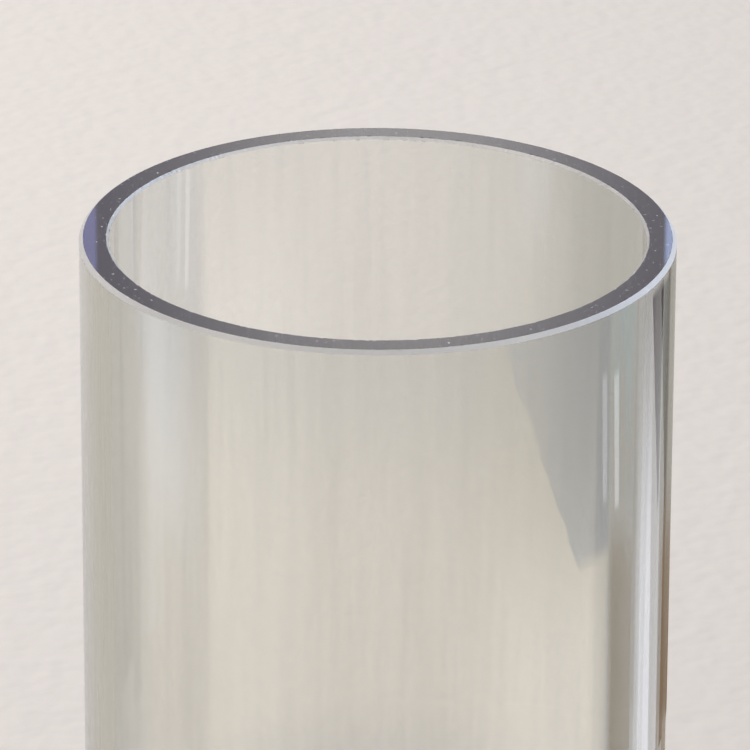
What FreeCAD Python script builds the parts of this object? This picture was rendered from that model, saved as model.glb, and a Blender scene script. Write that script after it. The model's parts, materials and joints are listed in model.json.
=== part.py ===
"""Glass cylinder vase: a length of drawn glass tube, cut square and polished, closed by a round
base plate that is bonded under its lower end. Millimetres, +Z up, origin at the centre of the
underside, so the vase stands on Z = 0."""

import FreeCAD, Part
import os

# Overall sizes
OUTER_DIAMETER = 100.0
HEIGHT = 250.0

# Tube
WALL = 5.0
OUTER_ARRIS = 0.7  # 45 degree ground edge, on the outside of both cut ends
INNER_ARRIS = 0.4  # the same on the inside

# Base plate
PLATE_THICKNESS = 10.0
PLATE_ARRIS = 0.7  # on both edges of the plate's rim

# Bond: the film of clear adhesive between the tube's lower end and the plate
BOND_THICKNESS = 0.2
BOND_SETBACK = 0.6  # kept back from the land's inner edge, so that none squeezes out into the vase

# Places that follow from the sizes above
OUTER_RADIUS = OUTER_DIAMETER / 2
BORE_RADIUS = OUTER_RADIUS - WALL
LAND_OUTER_RADIUS = OUTER_RADIUS - OUTER_ARRIS  # the flat land left between a cut end's arrises
LAND_INNER_RADIUS = BORE_RADIUS + INNER_ARRIS
PLATE_TOP = PLATE_THICKNESS
TUBE_FOOT = PLATE_TOP + BOND_THICKNESS
RIM = HEIGHT

PARTS_FOLDER = "parts"


def turned(profile):
    """A solid turned about Z from a closed outline of (radius, height) corners."""
    corners = [FreeCAD.Vector(radius, 0, height) for radius, height in profile]
    outline = Part.makePolygon(corners + corners[:1])
    full_turn = 360
    return Part.Face(outline).revolve(FreeCAD.Vector(0, 0, 0), FreeCAD.Vector(0, 0, 1), full_turn)


def glass_tube():
    """The upright wall. Both ends are cut square, with an arris inside and outside."""
    return turned([
        (LAND_INNER_RADIUS, TUBE_FOOT),
        (LAND_OUTER_RADIUS, TUBE_FOOT),
        (OUTER_RADIUS, TUBE_FOOT + OUTER_ARRIS),
        (OUTER_RADIUS, RIM - OUTER_ARRIS),
        (LAND_OUTER_RADIUS, RIM),
        (LAND_INNER_RADIUS, RIM),
        (BORE_RADIUS, RIM - INNER_ARRIS),
        (BORE_RADIUS, TUBE_FOOT + INNER_ARRIS),
    ])


def base_plate():
    """A disc of plate glass, as wide as the tube, with its rim ground and polished."""
    return turned([
        (0, 0),
        (OUTER_RADIUS - PLATE_ARRIS, 0),
        (OUTER_RADIUS, PLATE_ARRIS),
        (OUTER_RADIUS, PLATE_TOP - PLATE_ARRIS),
        (OUTER_RADIUS - PLATE_ARRIS, PLATE_TOP),
        (0, PLATE_TOP),
    ])


def bond_film():
    """The ring of cured adhesive, on what the tube's lower land and the plate's flat top share."""
    inner_radius = LAND_INNER_RADIUS + BOND_SETBACK
    outer_radius = min(LAND_OUTER_RADIUS, OUTER_RADIUS - PLATE_ARRIS)
    return turned([
        (inner_radius, PLATE_TOP),
        (outer_radius, PLATE_TOP),
        (outer_radius, TUBE_FOOT),
        (inner_radius, TUBE_FOOT),
    ])


def main():
    os.makedirs(PARTS_FOLDER, exist_ok=True)
    for make in (glass_tube, base_plate, bond_film):
        solid = make()
        solid.exportStep(os.path.join(PARTS_FOLDER, make.__name__ + ".step"))
        print(make.__name__, "valid" if solid.isValid() else "NOT VALID", round(solid.Volume, 1), "mm3")


main()
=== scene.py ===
"""Glass cylinder vase: a drawn, smoke-tinted glass tube bonded on a float-glass base plate.

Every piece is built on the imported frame, in metres with +Z up, and rides on its one body.
"""

import json
import math

import bpy
from bpy.props import FloatProperty, FloatVectorProperty, IntProperty, PointerProperty
from bpy.types import Operator, Panel, PropertyGroup
from mathutils import Matrix, Vector


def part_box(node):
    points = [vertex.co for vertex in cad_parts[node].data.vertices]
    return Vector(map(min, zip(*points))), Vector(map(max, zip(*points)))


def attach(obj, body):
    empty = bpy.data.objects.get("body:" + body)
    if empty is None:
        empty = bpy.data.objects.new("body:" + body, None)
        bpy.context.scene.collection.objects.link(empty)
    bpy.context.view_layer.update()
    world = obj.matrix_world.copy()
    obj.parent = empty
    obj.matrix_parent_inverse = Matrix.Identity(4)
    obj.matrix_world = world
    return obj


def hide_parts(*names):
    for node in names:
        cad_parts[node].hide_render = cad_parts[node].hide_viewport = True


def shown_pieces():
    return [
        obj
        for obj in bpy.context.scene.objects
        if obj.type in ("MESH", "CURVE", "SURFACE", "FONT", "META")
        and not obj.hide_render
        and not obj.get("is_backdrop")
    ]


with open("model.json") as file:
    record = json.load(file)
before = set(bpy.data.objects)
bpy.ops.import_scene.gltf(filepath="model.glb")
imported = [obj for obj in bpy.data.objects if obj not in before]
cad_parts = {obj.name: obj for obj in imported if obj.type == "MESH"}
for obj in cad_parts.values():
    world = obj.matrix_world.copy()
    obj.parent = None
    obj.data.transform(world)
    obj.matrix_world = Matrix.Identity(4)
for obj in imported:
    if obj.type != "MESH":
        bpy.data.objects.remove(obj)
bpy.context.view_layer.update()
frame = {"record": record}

bl_info = {
    "name": "Glass cylinder vase",
    "version": (1, 0, 0),
    "blender": (4, 5, 0),
    "location": "3D View > Sidebar > Vase",
    "description": "Builds a tinted glass cylinder vase and its studio stage",
    "category": "Object",
}

MM = 0.001
BODY = "root"


# Sizes that the frame gives

def mount(name):
    """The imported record's mount of that name."""
    return next(m for m in frame["record"]["mounts"] if m["name"] == name)


TUBE_LOW, TUBE_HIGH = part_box("glass_tube")
PLATE_LOW, PLATE_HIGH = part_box("base_plate")
BOND_LOW, BOND_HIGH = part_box("bond_film")
OUTER_RADIUS = TUBE_HIGH.x
BORE_RADIUS = mount("mouth")["dims"]["r_mm"] * MM
RIM_CENTRE = Vector((0, 0, TUBE_HIGH.z))

# Sizes of the meshes
EASING_STEPS = 2  # faces across each worn edge
WALL_SPACING = 10 * MM  # between the cuts in a long wall
MARGIN = 0.2 * MM  # of the rings beside the inner arris, which keep its chips from tilting the faces beyond
MERGE_DISTANCE = 0.002 * MM
CRISP_BEND = math.radians(6)
SAME_HEIGHT = 0.02 * MM

# How the drawn walls wander: the waves fade towards the true ends, and are longer up the wall than round it
WAVE_SPACING = 22.2 * MM
WAVE_STRETCH = 0.12
TRUE_END = 1 * MM
FULL_SWELL = 12 * MM

# The chips along the inner arris: their spacing, the noise at a chip's edge and at its floor, and how far
# past the arris they can reach
CHIP_SPACING = 0.6667 * MM
CHIP_NOISE = (0.55, 0.75)
CHIP_REACH = 0.1 * MM

# The leaning of a face's normal towards Z, from 0 at a wall to 1 at a level face
WALLS = (-1.0, 0.2)
ARRISES = (0.2, 0.95)
LEVEL_FACES = (0.95, 1.1)

# The glass's surface. Real dust and grit are finer: these are drawn as coarse as they need to be to show.
LINE_SPACING = 2 * MM
LINE_STRETCH = 0.01
WIPE_SPACING = 3.125 * MM
WIPE_STRETCH = 0.05
WIPE_NOISE = (0.48, 0.72)
DUST_SPACING = 0.6667 * MM
DUST_NOISE = (0.67, 0.71)
GRIT_SPACING = 0.2 * MM
GROUND_CLARITY = 0.45  # share of light that a ground face still lets through
INNER_GROUND = 0.8  # the narrow inner arris is ground a little finer than the outer one
ADHESIVE_IOR = 1.49
MATCHED_IOR = 1.0  # where glass and adhesive touch, light goes straight on

# The stage
FLOOR_HALF_WIDTH = 4.0
FLOOR_DROP = 0.1 * MM  # so that the floor and the vase's underside don't share a plane
FLOOR_GRAIN = 6.25 * MM
FLOOR_RELIEF = 0.6 * MM
CARD_STEPS = 24
RAGGED_WAVES = 9.0  # along the height of a card
SENSOR_WIDTH = 36  # in millimetres
NEAREST_SEEN = 0.05
LIGHT_BOUNCES = 24  # enough to pass both walls, the plate and their inner reflections


# Colour and nodes

def colour(code):
    """Linear RGB of an sRGB hex code."""
    channels = [int(code[i:i + 2], 16) / 255 for i in (1, 3, 5)]
    return tuple(c / 12.92 if c <= 0.04045 else ((c + 0.055) / 1.055) ** 2.4 for c in channels)


def per_metre(spacing):
    """A noise texture's scale: how many of these spacings there are in a metre."""
    return round(1 / spacing)


def add(tree, kind, inputs=None, **settings):
    """Adds a node. Its inputs, by name or place, are values, sockets, or nodes for their first output."""
    node = tree.nodes.new(kind)
    for name, value in settings.items():
        setattr(node, name, value)
    for name, value in (inputs or {}).items():
        socket = node.inputs[name]
        if isinstance(value, bpy.types.Node):
            value = value.outputs[0]
        if isinstance(value, bpy.types.NodeSocket):
            tree.links.new(value, socket)
        else:
            socket.default_value = value
    return node


def empty_material(name):
    """A new material and its node tree, with nothing in it yet."""
    material = bpy.data.materials.new(name)
    material.use_nodes = True
    material.node_tree.nodes.clear()
    return material, material.node_tree


# Settings

class VaseTube(PropertyGroup):
    """Sizes of the drawn tube"""
    outer_radius: FloatProperty(
        name="Outer radius", description="Half the tube's width", default=OUTER_RADIUS,
        unit="LENGTH", precision=4)
    bore_radius: FloatProperty(
        name="Bore radius", description="Half the width of the mouth", default=BORE_RADIUS,
        unit="LENGTH", precision=4)
    outer_arris: FloatProperty(
        name="Outer arris", description="Width of the ground edge outside each cut end",
        default=0.7 * MM, unit="LENGTH", precision=5)
    inner_arris: FloatProperty(
        name="Inner arris", description="Width of the ground edge inside each cut end",
        default=0.4 * MM, unit="LENGTH", precision=5)
    easing: FloatProperty(
        name="Easing", description="Radius to which polishing has worn each edge",
        default=0.06 * MM, unit="LENGTH", precision=5)
    swell: FloatProperty(
        name="Swell", description="How far the drawn walls wander from a true cylinder",
        default=0.03 * MM, unit="LENGTH", precision=5)
    chip: FloatProperty(
        name="Chips", description="Depth of the tiny chips along the inner arris",
        default=0.06 * MM, unit="LENGTH", precision=5)
    segments: IntProperty(
        name="Segments", description="Faces round the tube", default=720, min=32)


class VasePlate(PropertyGroup):
    """Sizes of the base plate"""
    arris: FloatProperty(
        name="Arris", description="Width of the ground edge round the plate",
        default=0.7 * MM, unit="LENGTH", precision=5)
    easing: FloatProperty(
        name="Easing", description="Radius to which polishing has worn each edge",
        default=0.06 * MM, unit="LENGTH", precision=5)
    segments: IntProperty(
        name="Segments", description="Faces round the plate", default=360, min=32)


class VaseBond(PropertyGroup):
    """Sizes of the adhesive ring"""
    setback: FloatProperty(
        name="Set-back", description="How far the film stops short of the tube's inner land",
        default=0.6 * MM, unit="LENGTH", precision=5)
    gap: FloatProperty(
        name="Gap", description="Air left each side, so that no two faces share a plane",
        default=0.01 * MM, unit="LENGTH", precision=6)
    segments: IntProperty(
        name="Segments", description="Faces round the ring", default=360, min=32)


class VaseFinish(PropertyGroup):
    """The tint and polish of the glass"""
    tint: FloatVectorProperty(
        name="Tint", description="Colour that a thick piece of the glass lets through",
        subtype="COLOR", default=colour("#a2aca6"), min=0, max=1)
    tube_depth: FloatProperty(
        name="Tube's density", description="How strongly the tube's glass absorbs, per metre",
        default=60, min=0)
    plate_depth: FloatProperty(
        name="Plate's density", description="How strongly the plate's glass absorbs, per metre",
        default=18, min=0)
    ior: FloatProperty(
        name="Refractive index", description="Soda-lime glass is about 1.52", default=1.52)
    frost: FloatProperty(
        name="Arris roughness", description="Roughness of the ground arrises", default=0.5, min=0, max=1)
    line: FloatProperty(
        name="Draw lines", description="Height of the lines along the walls", default=0.0006 * MM,
        unit="LENGTH", precision=7)
    haze: FloatProperty(
        name="Haze", description="Share of light that the wiping marks on the walls scatter",
        default=0.05, min=0, max=1)
    dust: FloatProperty(
        name="Dust", description="Share of light that the specks of dust on the cut ends scatter",
        default=0.4, min=0, max=1)
    grit: FloatProperty(
        name="Grit", description="Height of the grain on the ground arrises", default=0.05 * MM,
        unit="LENGTH", precision=6)


class VaseStage(PropertyGroup):
    """The floor, the light and the camera"""
    floor: FloatVectorProperty(
        name="Floor", description="Colour of the floor", subtype="COLOR",
        default=colour("#e8e5e2"), min=0, max=1)
    room: FloatVectorProperty(
        name="Room", description="Colour of the light all round", subtype="COLOR",
        default=(0.45, 0.44, 0.45), min=0, max=1)
    distance: FloatProperty(
        name="Distance", description="From the camera to the middle of the rim",
        default=1.2221, unit="LENGTH")
    height_angle: FloatProperty(
        name="Height angle", description="The camera's elevation as seen from the rim",
        default=math.radians(22.055), subtype="ANGLE")
    dip: FloatProperty(
        name="Dip", description="How far the camera looks down",
        default=math.radians(23.155), subtype="ANGLE")
    pan: FloatProperty(
        name="Pan", description="How far the camera looks to the left",
        default=math.radians(0.018), subtype="ANGLE")
    roll: FloatProperty(
        name="Roll", description="How far the camera tilts to its left",
        default=math.radians(0.264), subtype="ANGLE")
    lens: FloatProperty(
        name="Lens", description="Focal length in millimetres", default=350.7)


# Turned pieces

def turned_tree(name, sizes, corners):
    """A Geometry Nodes tree that turns an outline round Z.

    sizes gives its inputs' names. corners gives the outline's corners, each a radius and a height. Each of
    these is a sum of inputs, with an underscore for a space and a minus before an input that is taken away.
    The tree sweeps the outline along a circle of the turning radius, so radii are measured from there.
    """
    tree = bpy.data.node_groups.new(name, "GeometryNodeTree")
    tree.interface.new_socket("Geometry", in_out="OUTPUT", socket_type="NodeSocketGeometry")
    for size in sizes:
        tree.interface.new_socket(size, in_out="INPUT", socket_type="NodeSocketFloat")
    for extra, kind in (("Segments", "NodeSocketInt"), ("Material", "NodeSocketMaterial")):
        tree.interface.new_socket(extra, in_out="INPUT", socket_type=kind)
    given = add(tree, "NodeGroupInput").outputs

    def total(terms):
        value = 0.0
        for term in terms.split():
            size = given[term.lstrip("-").replace("_", " ")]
            operation = "SUBTRACT" if term.startswith("-") else "ADD"
            value = add(tree, "ShaderNodeMath", {0: value, 1: size}, operation=operation)
        return value

    place = add(tree, "GeometryNodeIndexSwitch", data_type="VECTOR")
    while len(place.index_switch_items) < len(corners):
        place.index_switch_items.new()
    tree.links.new(add(tree, "GeometryNodeInputIndex").outputs[0], place.inputs[0])
    for number, (radius, height) in enumerate(corners):
        out = add(tree, "ShaderNodeMath", {0: total(radius), 1: given["Turning radius"]},
                  operation="SUBTRACT")
        down = add(tree, "ShaderNodeMath", {0: total(height), 1: -1.0}, operation="MULTIPLY")
        point = add(tree, "ShaderNodeCombineXYZ", {"X": out, "Y": down})
        tree.links.new(point.outputs[0], place.inputs[number + 1])
    line = add(tree, "GeometryNodeMeshLine", {"Count": len(corners)})
    placed = add(tree, "GeometryNodeSetPosition", {"Geometry": line, "Position": place})
    outline = add(tree, "GeometryNodeMeshToCurve", {0: placed})
    return tree, given, add(tree, "GeometryNodeSetSplineCyclic", {"Geometry": outline, "Cyclic": True})


def ease(tree, outline, radius):
    """Rounds the outline's corners a little, as polishing wears an edge."""
    return add(tree, "GeometryNodeFilletCurve",
               {"Curve": outline, "Count": EASING_STEPS, "Radius": radius, "Limit Radius": True}, mode="POLY")


def divide_long_runs(tree, outline):
    """Cuts the outline's long straight runs, so that the walls can wander."""
    here = add(tree, "GeometryNodeInputPosition")
    index = add(tree, "GeometryNodeInputIndex")
    count = add(tree, "GeometryNodeAttributeDomainSize", {"Geometry": outline}, component="CURVE")
    after = add(tree, "ShaderNodeMath", {0: index, 1: 1.0}, operation="ADD")
    after = add(tree, "ShaderNodeMath", {0: after, 1: count.outputs["Point Count"]}, operation="MODULO")
    there = add(tree, "GeometryNodeFieldAtIndex", {"Index": after, "Value": here}, data_type="FLOAT_VECTOR")
    run = add(tree, "ShaderNodeVectorMath", {0: here, 1: there}, operation="DISTANCE").outputs["Value"]
    cuts = add(tree, "ShaderNodeMath", {0: run, 1: WALL_SPACING}, operation="DIVIDE")
    cuts = add(tree, "ShaderNodeMath", {0: cuts}, operation="FLOOR")
    return add(tree, "GeometryNodeSubdivideCurve", {"Curve": outline, "Cuts": cuts})


def turn(tree, given, outline):
    """Sweeps the outline round Z, as a full turn whose ends still have to be merged."""
    circle = add(tree, "GeometryNodeCurvePrimitiveCircle",
                 {"Resolution": given["Segments"], "Radius": given["Turning radius"]}, mode="RADIUS")
    return add(tree, "GeometryNodeCurveToMesh", {"Curve": circle, "Profile Curve": outline})


def away_from_axis(tree):
    """From Z to each point, level: its direction is outward, and its length is the radius there."""
    here = add(tree, "GeometryNodeInputPosition")
    return add(tree, "ShaderNodeVectorMath", {0: here, 1: (1, 1, 0)}, operation="MULTIPLY")


def wander(tree, given, mesh):
    """Lets the walls wander into the glass, as drawing leaves them. Both ends stay true."""
    here = add(tree, "GeometryNodeInputPosition")
    height = add(tree, "ShaderNodeSeparateXYZ", {0: here}).outputs["Z"]
    away = away_from_axis(tree)
    outward = add(tree, "ShaderNodeVectorMath", {0: away}, operation="NORMALIZE")
    radius = add(tree, "ShaderNodeVectorMath", {0: away}, operation="LENGTH").outputs["Value"]
    side = add(tree, "ShaderNodeMath", {0: given["Turning radius"], 1: radius}, operation="SUBTRACT")
    side = add(tree, "ShaderNodeMath", {0: side}, operation="SIGN")
    below_rim = add(tree, "ShaderNodeMath", {0: given["Rim"], 1: height}, operation="SUBTRACT")
    above_foot = add(tree, "ShaderNodeMath", {0: height, 1: given["Foot"]}, operation="SUBTRACT")
    from_end = add(tree, "ShaderNodeMath", {0: below_rim, 1: above_foot}, operation="MINIMUM")
    share = add(tree, "ShaderNodeMapRange", {"Value": from_end, "From Min": TRUE_END, "From Max": FULL_SWELL},
                interpolation_type="SMOOTHSTEP")
    drawn = add(tree, "ShaderNodeVectorMath", {0: here, 1: (1, 1, WAVE_STRETCH)}, operation="MULTIPLY")
    waves = add(tree, "ShaderNodeTexNoise",
                {"Vector": drawn, "Scale": per_metre(WAVE_SPACING), "Detail": 1.0}, noise_dimensions="3D")
    depth = add(tree, "ShaderNodeMath", {0: waves, 1: given["Swell"]}, operation="MULTIPLY")
    depth = add(tree, "ShaderNodeMath", {0: depth, 1: share}, operation="MULTIPLY")
    depth = add(tree, "ShaderNodeMath", {0: depth, 1: side}, operation="MULTIPLY")
    shift = add(tree, "ShaderNodeVectorMath", {0: outward, "Scale": depth}, operation="SCALE")
    return add(tree, "GeometryNodeSetPosition", {"Geometry": mesh, "Offset": shift})


def chip(tree, given, mesh):
    """Bites tiny chips out of the inner arris of the rim."""
    here = add(tree, "GeometryNodeInputPosition")
    height = add(tree, "ShaderNodeSeparateXYZ", {0: here}).outputs["Z"]
    away = away_from_axis(tree)
    outward = add(tree, "ShaderNodeVectorMath", {0: away}, operation="NORMALIZE")
    radius = add(tree, "ShaderNodeVectorMath", {0: away}, operation="LENGTH").outputs["Value"]
    reach = add(tree, "ShaderNodeMath", {0: given["Inner arris"], 1: CHIP_REACH}, operation="ADD")
    below_rim = add(tree, "ShaderNodeMath", {0: given["Rim"], 1: height}, operation="SUBTRACT")
    near_rim = add(tree, "ShaderNodeMath", {0: below_rim, 1: reach}, operation="LESS_THAN")
    edge = add(tree, "ShaderNodeMath", {0: given["Bore radius"], 1: reach}, operation="ADD")
    near_bore = add(tree, "ShaderNodeMath", {0: radius, 1: edge}, operation="LESS_THAN")
    at_arris = add(tree, "ShaderNodeMath", {0: near_rim, 1: near_bore}, operation="MULTIPLY")
    bites = add(tree, "ShaderNodeTexNoise",
                {"Vector": here, "Scale": per_metre(CHIP_SPACING), "Detail": 0.0}, noise_dimensions="3D")
    bites = add(tree, "ShaderNodeMapRange",
                {"Value": bites, "From Min": CHIP_NOISE[0], "From Max": CHIP_NOISE[1]},
                interpolation_type="SMOOTHSTEP")
    depth = add(tree, "ShaderNodeMath", {0: given["Chip"], 1: at_arris}, operation="MULTIPLY")
    depth = add(tree, "ShaderNodeMath", {0: bites, 1: depth}, operation="MULTIPLY")
    into = add(tree, "ShaderNodeVectorMath", {0: outward, 1: (0, 0, -1)}, operation="ADD")
    shift = add(tree, "ShaderNodeVectorMath", {0: into, "Scale": depth}, operation="SCALE")
    return add(tree, "GeometryNodeSetPosition", {"Geometry": mesh, "Offset": shift})


def mark(tree, mesh, name, value, faces, beyond=0.0, height=None):
    """Stores a value on the faces of one kind, by how their normals lean, that are farther from Z than beyond
    and, where a height is given, at that height. Other faces keep what they had, or nothing."""
    normal = add(tree, "GeometryNodeInputNormal").outputs["Normal"]
    lean = add(tree, "ShaderNodeSeparateXYZ", {0: normal}).outputs["Z"]
    lean = add(tree, "ShaderNodeMath", {0: lean}, operation="ABSOLUTE")
    radius = add(tree, "ShaderNodeVectorMath", {0: away_from_axis(tree)}, operation="LENGTH").outputs["Value"]
    low, high = faces
    tests = [(lean, low, "GREATER_THAN"), (lean, high, "LESS_THAN"), (radius, beyond, "GREATER_THAN")]
    if height is not None:
        here = add(tree, "GeometryNodeInputPosition")
        tests.append((add(tree, "ShaderNodeSeparateXYZ", {0: here}).outputs["Z"], height, "COMPARE"))
    chosen = 1.0
    for measure, limit, operation in tests:
        test = add(tree, "ShaderNodeMath", {0: measure, 1: limit, 2: SAME_HEIGHT}, operation=operation)
        chosen = add(tree, "ShaderNodeMath", {0: test, 1: chosen}, operation="MULTIPLY")
    chosen = add(tree, "FunctionNodeCompare", {0: chosen, 1: 0.5}, operation="GREATER_THAN")
    return add(tree, "GeometryNodeStoreNamedAttribute",
               {"Geometry": mesh, "Selection": chosen, "Name": name, "Value": value},
               data_type="FLOAT", domain="FACE")


def finish_tree(tree, given, mesh):
    """Closes the seam and the pole, keeps the profile's edges crisp, gives the material and ends the tree."""
    mesh = add(tree, "GeometryNodeMergeByDistance", {"Geometry": mesh, "Distance": MERGE_DISTANCE})
    mesh = add(tree, "GeometryNodeSetShadeSmooth", {"Geometry": mesh, "Shade Smooth": True})
    bend = add(tree, "GeometryNodeInputMeshEdgeAngle").outputs["Unsigned Angle"]
    crisp = add(tree, "FunctionNodeCompare", {0: bend, 1: CRISP_BEND}, operation="GREATER_THAN")
    mesh = add(tree, "GeometryNodeSetShadeSmooth",
               {"Geometry": mesh, "Selection": crisp, "Shade Smooth": False}, domain="EDGE")
    mesh = add(tree, "GeometryNodeRealizeInstances", {"Geometry": mesh})
    mesh = add(tree, "GeometryNodeSetMaterial", {"Geometry": mesh, "Material": given["Material"]})
    add(tree, "NodeGroupOutput", {0: mesh})


def make_piece(name, tree, values, node):
    """Runs a tree with these values, and keeps its result as a plain mesh that stands for a CAD node."""
    piece = bpy.data.objects.new(name, bpy.data.meshes.new(name))
    bpy.context.scene.collection.objects.link(piece)
    modifier = piece.modifiers.new("Turned", "NODES")
    modifier.node_group = tree
    for item in tree.interface.items_tree:
        if item.in_out == "INPUT":
            modifier[item.identifier] = values[item.name]
    shown = piece.evaluated_get(bpy.context.evaluated_depsgraph_get())
    mesh = bpy.data.meshes.new_from_object(shown)
    piece.modifiers.remove(modifier)
    mesh.name = name
    piece.data = mesh
    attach(piece, BODY)
    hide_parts(node)


# Materials

def wipe_and_dust(tree, here, drawn, finish):
    """The share of light that wiping marks scatter on the walls, and specks of dust on the cut ends."""
    wiped = add(tree, "ShaderNodeMapping", {"Vector": here, "Scale": (1, 1, WIPE_STRETCH)})
    strokes = add(tree, "ShaderNodeTexNoise",
                  {"Vector": wiped, "Scale": per_metre(WIPE_SPACING), "Detail": 3.0})
    haze = add(tree, "ShaderNodeMapRange", {
        "Value": strokes, "From Min": WIPE_NOISE[0], "From Max": WIPE_NOISE[1], "To Max": finish.haze})
    haze = add(tree, "ShaderNodeMath", {0: haze, 1: drawn}, operation="MULTIPLY")
    specks = add(tree, "ShaderNodeTexNoise",
                 {"Vector": here, "Scale": per_metre(DUST_SPACING), "Detail": 2.0})
    dust = add(tree, "ShaderNodeMapRange", {
        "Value": specks, "From Min": DUST_NOISE[0], "From Max": DUST_NOISE[1], "To Max": finish.dust})
    cut = add(tree, "ShaderNodeMath", {0: 1.0, 1: drawn}, operation="SUBTRACT")
    dust = add(tree, "ShaderNodeMath", {0: dust, 1: cut}, operation="MULTIPLY")
    return add(tree, "ShaderNodeMath", {0: haze, 1: dust}, operation="ADD")


def lines_and_grit(tree, here, drawn, ground, finish):
    """The relief of the lines along the drawn walls, and of the grain on the ground arrises."""
    along = add(tree, "ShaderNodeMapping", {"Vector": here, "Scale": (1, 1, LINE_STRETCH)})
    lines = add(tree, "ShaderNodeTexNoise",
                {"Vector": along, "Scale": per_metre(LINE_SPACING), "Detail": 2.0})
    grain = add(tree, "ShaderNodeTexNoise",
                {"Vector": here, "Scale": per_metre(GRIT_SPACING), "Detail": 1.0})
    line = add(tree, "ShaderNodeMath", {0: lines, 1: finish.line}, operation="MULTIPLY")
    line = add(tree, "ShaderNodeMath", {0: line, 1: drawn}, operation="MULTIPLY")
    grit = add(tree, "ShaderNodeMath", {0: grain, 1: finish.grit}, operation="MULTIPLY")
    grit = add(tree, "ShaderNodeMath", {0: grit, 1: ground}, operation="MULTIPLY")
    relief = add(tree, "ShaderNodeMath", {0: line, 1: grit}, operation="ADD")
    return add(tree, "ShaderNodeBump", {"Strength": 1.0, "Distance": 1.0, "Height": relief})


def glass_material(name, finish, density):
    """Soda-lime glass, smoke-tinted right through.

    The walls are fire-polished, with faint lines along the draw and a trace of haze where they were wiped.
    The cut ends are polished flat and hold a few specks of dust. The arrises are only ground, so they look
    frosted. Where a face is bonded, the adhesive has the glass's own index, so light goes straight on.
    """
    material, tree = empty_material(name)
    ground = add(tree, "ShaderNodeAttribute", attribute_name="ground").outputs["Fac"]
    bonded = add(tree, "ShaderNodeAttribute", attribute_name="bonded").outputs["Fac"]
    drawn = add(tree, "ShaderNodeAttribute", attribute_name="drawn").outputs["Fac"]
    here = add(tree, "ShaderNodeTexCoord").outputs["Object"]
    roughness = add(tree, "ShaderNodeMapRange", {"Value": ground, "To Min": 0.0, "To Max": finish.frost})
    index = add(tree, "ShaderNodeMapRange", {"Value": bonded, "To Min": finish.ior, "To Max": MATCHED_IOR})
    clear = add(tree, "ShaderNodeMapRange", {"Value": ground, "To Min": 1.0, "To Max": GROUND_CLARITY})
    film = wipe_and_dust(tree, here, drawn, finish)
    clear = add(tree, "ShaderNodeMath", {0: clear, 1: film}, operation="SUBTRACT")
    clear = add(tree, "ShaderNodeMath", {0: clear, 1: 0.0}, operation="MAXIMUM")
    glass = add(tree, "ShaderNodeBsdfPrincipled", {
        "Base Color": (1, 1, 1, 1), "Roughness": roughness, "IOR": finish.ior, "Transmission Weight": clear,
        "Normal": lines_and_grit(tree, here, drawn, ground, finish)})
    # The plain index stays on the socket under its link, for an export that can't vary it over a piece
    tree.links.new(index.outputs[0], glass.inputs["IOR"])
    absorb = add(tree, "ShaderNodeVolumeAbsorption", {"Color": (*finish.tint, 1), "Density": density})
    add(tree, "ShaderNodeOutputMaterial", {"Surface": glass, "Volume": absorb})
    return material


def adhesive_material(name):
    """Acrylic adhesive, cured clear. Its flat faces are wetted to the glass, and only its edges shine."""
    material, tree = empty_material(name)
    bonded = add(tree, "ShaderNodeAttribute", attribute_name="bonded").outputs["Fac"]
    index = add(tree, "ShaderNodeMapRange", {"Value": bonded, "To Min": ADHESIVE_IOR, "To Max": MATCHED_IOR})
    clear = add(tree, "ShaderNodeBsdfPrincipled", {
        "Base Color": (1, 1, 1, 1), "Roughness": 0.05, "IOR": ADHESIVE_IOR, "Transmission Weight": 1.0})
    tree.links.new(index.outputs[0], clear.inputs["IOR"])
    add(tree, "ShaderNodeOutputMaterial", {"Surface": clear})
    return material


def paper_material(name, shade):
    """Matt paper with a slight tooth, which scatters light evenly and hardly shines."""
    material, tree = empty_material(name)
    here = add(tree, "ShaderNodeTexCoord").outputs["Object"]
    tooth = add(tree, "ShaderNodeTexNoise", {"Vector": here, "Scale": per_metre(FLOOR_GRAIN), "Detail": 1.0})
    bump = add(tree, "ShaderNodeBump", {"Strength": 1.0, "Distance": FLOOR_RELIEF, "Height": tooth})
    matt = add(tree, "ShaderNodeBsdfPrincipled", {
        "Base Color": (*shade, 1), "Roughness": 0.9, "Specular IOR Level": 0.2, "Normal": bump})
    add(tree, "ShaderNodeOutputMaterial", {"Surface": matt})
    return material


# Operators

def bond_inner_radius(context):
    """Where the adhesive film begins."""
    tube = context.scene.vase_tube
    return tube.bore_radius + tube.inner_arris + context.scene.vase_bond.setback


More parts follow.
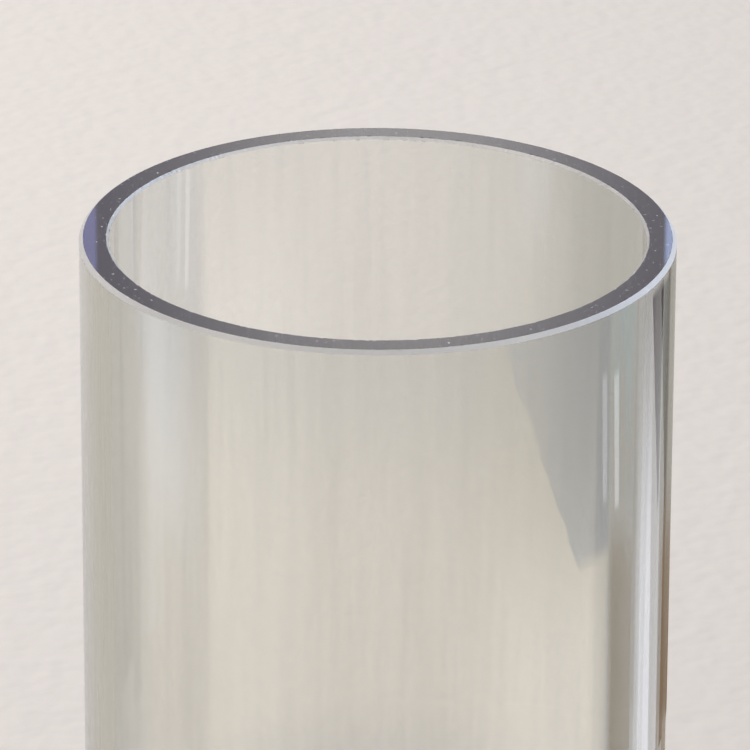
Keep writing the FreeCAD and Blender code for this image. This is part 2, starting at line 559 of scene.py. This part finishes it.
class VASE_OT_tube(Operator):
    """Build the drawn glass tube"""
    bl_idname = "vase.tube"
    bl_label = "Glass tube"

    def execute(self, context):
        tube = context.scene.vase_tube
        finish = context.scene.vase_finish
        sizes = {
            "Turning radius": (tube.outer_radius + tube.bore_radius) / 2,
            "Outer radius": tube.outer_radius, "Bore radius": tube.bore_radius,
            "Foot": TUBE_LOW.z, "Rim": TUBE_HIGH.z,
            "Outer arris": tube.outer_arris, "Inner arris": tube.inner_arris,
            "Bond": bond_inner_radius(context), "Easing": tube.easing, "Swell": tube.swell,
            "Chip": tube.chip, "Margin": MARGIN,
        }
        corners = [
            ("Bond", "Foot"),
            ("Bore_radius Inner_arris", "Foot"),
            ("Bore_radius", "Foot Inner_arris"),
            ("Bore_radius", "Rim -Inner_arris -Margin -Margin"),
            ("Bore_radius", "Rim -Inner_arris -Margin"),
            ("Bore_radius", "Rim -Inner_arris"),
            ("Bore_radius Inner_arris", "Rim"),
            ("Bore_radius Inner_arris Margin", "Rim"),
            ("Bore_radius Inner_arris Margin Margin", "Rim"),
            ("Outer_radius -Outer_arris", "Rim"),
            ("Outer_radius", "Rim -Outer_arris"),
            ("Outer_radius", "Foot Outer_arris"),
            ("Outer_radius -Outer_arris", "Foot"),
        ]
        tree, given, outline = turned_tree("Turned tube", sizes, corners)
        outline = ease(tree, outline, given["Easing"])
        mesh = turn(tree, given, divide_long_runs(tree, outline))
        mesh = chip(tree, given, wander(tree, given, mesh))
        mesh = mark(tree, mesh, "ground", INNER_GROUND, ARRISES)
        mesh = mark(tree, mesh, "ground", 1.0, ARRISES, beyond=given["Turning radius"])
        mesh = mark(tree, mesh, "drawn", 1.0, WALLS)
        mesh = mark(tree, mesh, "bonded", 1.0, LEVEL_FACES, beyond=given["Bond"], height=given["Foot"])
        finish_tree(tree, given, mesh)
        glass = glass_material("Smoke-tinted drawn soda-lime glass", finish, finish.tube_depth)
        values = {**sizes, "Segments": tube.segments, "Material": glass}
        make_piece("drawn_tube", tree, values, "glass_tube")
        return {"FINISHED"}


class VASE_OT_plate(Operator):
    """Build the float-glass base plate"""
    bl_idname = "vase.plate"
    bl_label = "Base plate"

    def execute(self, context):
        plate = context.scene.vase_plate
        finish = context.scene.vase_finish
        sizes = {
            "Turning radius": PLATE_HIGH.x / 2, "Radius": PLATE_HIGH.x, "Bond": bond_inner_radius(context),
            "Underside": PLATE_LOW.z, "Top": PLATE_HIGH.z, "Arris": plate.arris, "Easing": plate.easing,
        }
        on_axis = [("", "Underside"), ("", "Top")]
        corners = on_axis + [
            ("Bond", "Top"),
            ("Radius -Arris", "Top"),
            ("Radius", "Top -Arris"),
            ("Radius", "Underside Arris"),
            ("Radius -Arris", "Underside"),
        ]
        tree, given, outline = turned_tree("Turned plate", sizes, corners)
        index = add(tree, "GeometryNodeInputIndex")
        off_axis = add(tree, "ShaderNodeMath", {0: index, 1: len(on_axis) - 0.5}, operation="GREATER_THAN")
        easing = add(tree, "ShaderNodeMath", {0: off_axis, 1: given["Easing"]}, operation="MULTIPLY")
        mesh = turn(tree, given, ease(tree, outline, easing))
        mesh = mark(tree, mesh, "ground", 1.0, ARRISES)
        mesh = mark(tree, mesh, "bonded", 1.0, LEVEL_FACES, beyond=given["Bond"], height=given["Top"])
        finish_tree(tree, given, mesh)
        glass = glass_material("Lightly tinted float glass", finish, finish.plate_depth)
        values = {**sizes, "Segments": plate.segments, "Material": glass}
        make_piece("float_plate", tree, values, "base_plate")
        return {"FINISHED"}


class VASE_OT_bond(Operator):
    """Build the ring of adhesive between the tube and the plate"""
    bl_idname = "vase.bond"
    bl_label = "Adhesive ring"

    def execute(self, context):
        bond = context.scene.vase_bond
        inner_radius = bond_inner_radius(context)
        sizes = {
            "Turning radius": (inner_radius + BOND_HIGH.x) / 2,
            "Inner radius": inner_radius, "Outer radius": BOND_HIGH.x,
            "Underside": BOND_LOW.z + bond.gap, "Top": BOND_HIGH.z - bond.gap,
        }
        corners = [
            ("Inner_radius", "Underside"),
            ("Inner_radius", "Top"),
            ("Outer_radius", "Top"),
            ("Outer_radius", "Underside"),
        ]
        tree, given, outline = turned_tree("Turned film", sizes, corners)
        mesh = mark(tree, turn(tree, given, outline), "bonded", 1.0, LEVEL_FACES)
        finish_tree(tree, given, mesh)
        adhesive = adhesive_material("Clear cured acrylic adhesive")
        values = {**sizes, "Segments": bond.segments, "Material": adhesive}
        make_piece("adhesive_ring", tree, values, "bond_film")
        return {"FINISHED"}


class VASE_OT_stage(Operator):
    """Build the floor, the light and the camera"""
    bl_idname = "vase.stage"
    bl_label = "Stage"

    def execute(self, context):
        stage = context.scene.vase_stage
        add_floor(stage)
        add_room(stage)
        add_softboxes()
        add_rim_cards()
        add_wall_cards()
        add_camera(stage)
        return {"FINISHED"}


# The stage

def add_floor(stage):
    """A sheet of paper that is far wider than the view."""
    corners = [(x * FLOOR_HALF_WIDTH, y * FLOOR_HALF_WIDTH, -FLOOR_DROP)
               for x, y in ((-1, -1), (1, -1), (1, 1), (-1, 1))]
    mesh = bpy.data.meshes.new("floor")
    mesh.from_pydata(corners, [], [(0, 1, 2, 3)])
    mesh.materials.append(paper_material("Matt paper floor", stage.floor))
    floor = bpy.data.objects.new("floor", mesh)
    bpy.context.scene.collection.objects.link(floor)
    floor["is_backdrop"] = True


def add_room(stage):
    """Even light from all round."""
    world = bpy.data.worlds.new("Room")
    world.use_nodes = True
    world.node_tree.nodes["Background"].inputs["Color"].default_value = (*stage.room, 1)
    bpy.context.scene.world = world


def add_softbox(name, place, size, shade, watts):
    """A soft light that faces the rim and isn't seen itself."""
    light = bpy.data.lights.new(name, "AREA")
    light.shape = "RECTANGLE"
    light.size, light.size_y = size
    light.color = shade
    light.energy = watts
    lamp = bpy.data.objects.new(name, light)
    lamp.location = place
    lamp.rotation_euler = (RIM_CENTRE - lamp.location).to_track_quat("-Z", "Y").to_euler()
    lamp.visible_camera = False
    bpy.context.scene.collection.objects.link(lamp)
    return lamp


def add_softboxes():
    """A warm light high at the back left for all, and a cool one at the right that lights only the vase."""
    add_softbox("top_softbox", (-0.9, 0.9, 1.4), (1.2, 1.2), (1.0, 0.95, 0.9), watts=21)
    cool = add_softbox("right_softbox", (0.95, 0.62, 0.85), (0.9, 0.7), (0.72, 0.82, 1.0), watts=13)
    lit = bpy.data.collections.new("lit_by_right_softbox")
    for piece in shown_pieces():
        lit.objects.link(piece)
    cool.light_linking.receiver_collection = lit


def card_mesh(name, distance, heights, left, right):
    """A curved sheet of small faces, with a UV that runs from 0 to 1 each way."""
    points, corners, faces = [], [], []
    for row in range(CARD_STEPS + 1):
        v = row / CARD_STEPS
        ends = [edge[0] + (edge[1] - edge[0]) * v for edge in (left, right)]
        height = heights[0] + (heights[1] - heights[0]) * v
        for column in range(CARD_STEPS + 1):
            u = column / CARD_STEPS
            bearing = math.radians(ends[0] + (ends[1] - ends[0]) * u)
            points.append((distance * math.sin(bearing), distance * math.cos(bearing), height))
            corners.append((u, v))
    for row in range(CARD_STEPS):
        for column in range(CARD_STEPS):
            first = row * (CARD_STEPS + 1) + column
            above = first + CARD_STEPS + 1
            faces.append((first, first + 1, above + 1, above))
    mesh = bpy.data.meshes.new(name)
    mesh.from_pydata(points, [], faces)
    uv = mesh.uv_layers.new(name="card")
    for loop in mesh.loops:
        uv.data[loop.index].uv = corners[loop.vertex_index]
    return mesh


def card_material(name, shade, strength, soft, glow, seen, ragged):
    """Light that fades at the card's edges, and shows only to the rays that the card is meant for."""
    material, tree = empty_material(name)
    place = add(tree, "ShaderNodeSeparateXYZ", {0: add(tree, "ShaderNodeTexCoord").outputs["UV"]})
    across, up = place.outputs["X"], place.outputs["Y"]
    uneven = add(tree, "ShaderNodeTexNoise", {"W": up, "Scale": RAGGED_WAVES, "Detail": 3.0},
                 noise_dimensions="1D")
    shift = add(tree, "ShaderNodeMath", {0: uneven, 1: 0.5}, operation="SUBTRACT")
    wavering = add(tree, "ShaderNodeMath", {0: shift, 1: 2 * ragged, 2: across}, operation="MULTIPLY_ADD")
    mask = 1.0
    path = add(tree, "ShaderNodeLightPath").outputs
    if seen != "through":
        mask = add(tree, "ShaderNodeMath", {0: path["Glossy Depth"], 1: 0.5}, operation="GREATER_THAN")
    if seen == "outer face":
        outside = add(tree, "ShaderNodeMath", {0: path["Transmission Depth"], 1: 0.5}, operation="LESS_THAN")
        mask = add(tree, "ShaderNodeMath", {0: mask, 1: outside}, operation="MULTIPLY")
    sides = ((across, 0, soft[0]), (wavering, 1, -soft[1]), (up, 0, soft[2]), (up, 1, -soft[3]))
    for measure, edge, fade in sides:
        side = add(tree, "ShaderNodeMapRange", {"Value": measure, "From Min": edge, "From Max": edge + fade},
                   interpolation_type="SMOOTHSTEP")
        mask = add(tree, "ShaderNodeMath", {0: side, 1: mask}, operation="MULTIPLY")
    clear = add(tree, "ShaderNodeBsdfTransparent")
    level = strength
    if glow:
        level = add(tree, "ShaderNodeMath", {0: mask, 1: strength}, operation="MULTIPLY")
    light = add(tree, "ShaderNodeEmission", {"Color": (*shade, 1), "Strength": level})
    if glow:
        shown = add(tree, "ShaderNodeAddShader", {0: light, 1: clear})
    else:
        shown = add(tree, "ShaderNodeMixShader", {0: mask, 1: clear, 2: light})
    add(tree, "ShaderNodeOutputMaterial", {"Surface": shown})
    return material


def add_card(name, distance, heights, left, right, shade, strength=1.0, soft=(0.1, 0.1, 0.1, 0.1),
             glow=False, seen="mirrored", ragged=0.0):
    """A card round the vase that shows only in the glass.

    distance is from Z, and heights are of its foot and head. left and right are compass bearings in degrees
    from +Y, each at the foot and at the head. soft gives the share of the card over which its left, right,
    foot and head fade, and ragged the share by which its right edge wavers. A glow adds to what is behind it.
    A card is seen mirrored, mirrored by an outer face alone, or through the glass too.
    """
    mesh = card_mesh(name, distance, heights, left, right)
    mesh.materials.append(card_material(name, shade, strength, soft, glow, seen, ragged))
    card = bpy.data.objects.new(name, mesh)
    bpy.context.scene.collection.objects.link(card)
    card.visible_camera = False
    card.visible_diffuse = False
    card.visible_shadow = False
    card.visible_volume_scatter = False
    card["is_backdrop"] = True


def add_rim_cards():
    """What the polished rim mirrors: a quiet panel between two blue ones, and a soft glow."""
    crisp = (0.01, 0.01, 0.01, 0.01)
    high = (0.42, 0.6)
    add_card("rim_panel", 0.6, high, (-6.95, -6.95), (7.1, 7.1), (0.82, 0.77, 0.89), soft=crisp)
    add_card("rim_side_left", 0.61, high, (-14, -14), (-6, -6), (1.3, 1.3, 2.1), soft=crisp)
    add_card("rim_side_right", 0.61, high, (6, 6), (14, 14), (2.0, 2.3, 3.4), soft=crisp)
    add_card("rim_glow", 0.59, (0.36, 0.60), (-7, -7), (8, 8), (1, 0.97, 0.88), strength=1.1,
             soft=(0.5, 0.5, 0.5, 0.5), glow=True)


def add_wall_cards():
    """What the walls mirror, and what shows through them at the right."""
    # Bright floor in front
    add_card("front_bounce", 0.22, (0.0, 0.20), (87.5, 87.5), (293, 293), (1.95, 1.65, 1.3),
             soft=(0.012, 0.17, 0.1, 0.35))
    add_card("front_glow", 0.215, (0.0, 0.15), (90, 90), (160, 160), (1.0, 0.96, 0.9), strength=0.9,
             soft=(0.05, 0.5, 0.02, 0.3), glow=True)
    # The left: a cool patch of light, and a dull screen
    add_card("left_glow", 0.205, (0.125, 0.19), (242, 248), (270, 280), (0.5, 0.7, 1.0), strength=0.8,
             soft=(0.4, 0.3, 0.4, 0.2), glow=True)
    add_card("left_screen", 0.24, (0.0, 0.22), (275, 275), (330, 330), (0.78, 0.71, 0.63),
             soft=(0.3, 0.3, 0.02, 0.1))
    # The right: a dark screen with a ragged edge, and strips beside it
    add_card("right_screen", 0.21, (0.1245, 0.20), (88, 88), (103, 150), (0.0, 0.12, 0.5),
             soft=(0.05, 0.05, 0.08, 0.05), seen="outer face", ragged=0.1)
    add_card("cool_strip", 0.34, (-0.05, 0.13), (39, 44), (58.5, 57), (1.2, 1.17, 1.24),
             soft=(0.1, 0.1, 0.02, 0.5))
    add_card("white_blade", 0.34, (0.074, 0.108), (78, 79.5), (81, 83), (2.6, 2.6, 2.7),
             soft=(0.15, 0.15, 0.1, 0.1))
    add_card("blue_blade", 0.36, (0.078, 0.13), (72.5, 64), (73, 82), (0.45, 0.7, 0.85),
             soft=(0.1, 0.1, 0.05, 0.05))
    add_card("dark_wedge", 0.33, (0.064, 0.12), (34.5, 33), (35.5, 47), (0.08, 0.06, 0.07),
             soft=(0.05, 0.05, 0.02, 0.05))
    add_card("brown_edge", 0.345, (-0.03, 0.2), (0, 0), (28, 28), (0.17, 0.09, 0.05),
             soft=(0.2, 0.05, 0.1, 0.1))
    add_card("brown_sheen", 0.345, (-0.03, 0.2), (8, 8), (37, 37), (0.30, 0.17, 0.10),
             soft=(0.2, 0.05, 0.1, 0.1), seen="outer face")
    # Behind the walls at the right
    add_card("brown_screen", 0.32, (-0.05, 0.066), (20.8, 19.6), (33.3, 31.3), (0.35, 0.27, 0.185),
             soft=(0.15, 0.1, 0.02, 0.15), seen="through")
    add_card("right_shade", 0.34, (0.0, 0.26), (-1, -1), (34, 34), (0.50, 0.475, 0.43),
             soft=(0.54, 0.1, 0.3, 0.1), seen="through")


def add_camera(stage):
    """A long lens that looks down on the rim, and the settings that clear glass needs."""
    scene = bpy.context.scene
    camera = bpy.data.cameras.new("camera")
    camera.sensor_width = SENSOR_WIDTH
    camera.lens = stage.lens
    camera.clip_start = NEAREST_SEEN
    holder = bpy.data.objects.new("camera", camera)
    scene.collection.objects.link(holder)
    offset = Vector((0, -math.cos(stage.height_angle), math.sin(stage.height_angle)))
    place = RIM_CENTRE + stage.distance * offset
    turned = (Matrix.Rotation(stage.pan, 4, "Z") @ Matrix.Rotation(math.pi / 2 - stage.dip, 4, "X")
              @ Matrix.Rotation(stage.roll, 4, "Z"))
    holder.matrix_world = Matrix.Translation(place) @ turned
    scene.camera = holder
    scene.view_settings.view_transform = "Standard"
    scene.cycles.max_bounces = LIGHT_BOUNCES
    scene.cycles.transmission_bounces = LIGHT_BOUNCES
    scene.cycles.glossy_bounces = LIGHT_BOUNCES
    scene.cycles.use_denoising = True


class VASE_PT_pieces(Panel):
    """Lists the vase's pieces and its stage"""
    bl_idname = "VASE_PT_pieces"
    bl_label = "Glass cylinder vase"
    bl_space_type = "VIEW_3D"
    bl_region_type = "UI"
    bl_category = "Vase"

    def draw(self, context):
        for step in STEPS:
            self.layout.operator(step.bl_idname)


GROUPS = {"vase_tube": VaseTube, "vase_plate": VasePlate, "vase_bond": VaseBond,
          "vase_finish": VaseFinish, "vase_stage": VaseStage}
STEPS = (VASE_OT_tube, VASE_OT_plate, VASE_OT_bond, VASE_OT_stage)
CLASSES = (*GROUPS.values(), *STEPS, VASE_PT_pieces)


def register():
    for cls in CLASSES:
        bpy.utils.register_class(cls)
    for name, group in GROUPS.items():
        setattr(bpy.types.Scene, name, PointerProperty(type=group))


def unregister():
    for name in GROUPS:
        delattr(bpy.types.Scene, name)
    for cls in reversed(CLASSES):
        bpy.utils.unregister_class(cls)


def main():
    register()
    bpy.ops.vase.tube()
    bpy.ops.vase.plate()
    bpy.ops.vase.bond()
    bpy.ops.vase.stage()


if __name__ == "__main__":
    main()
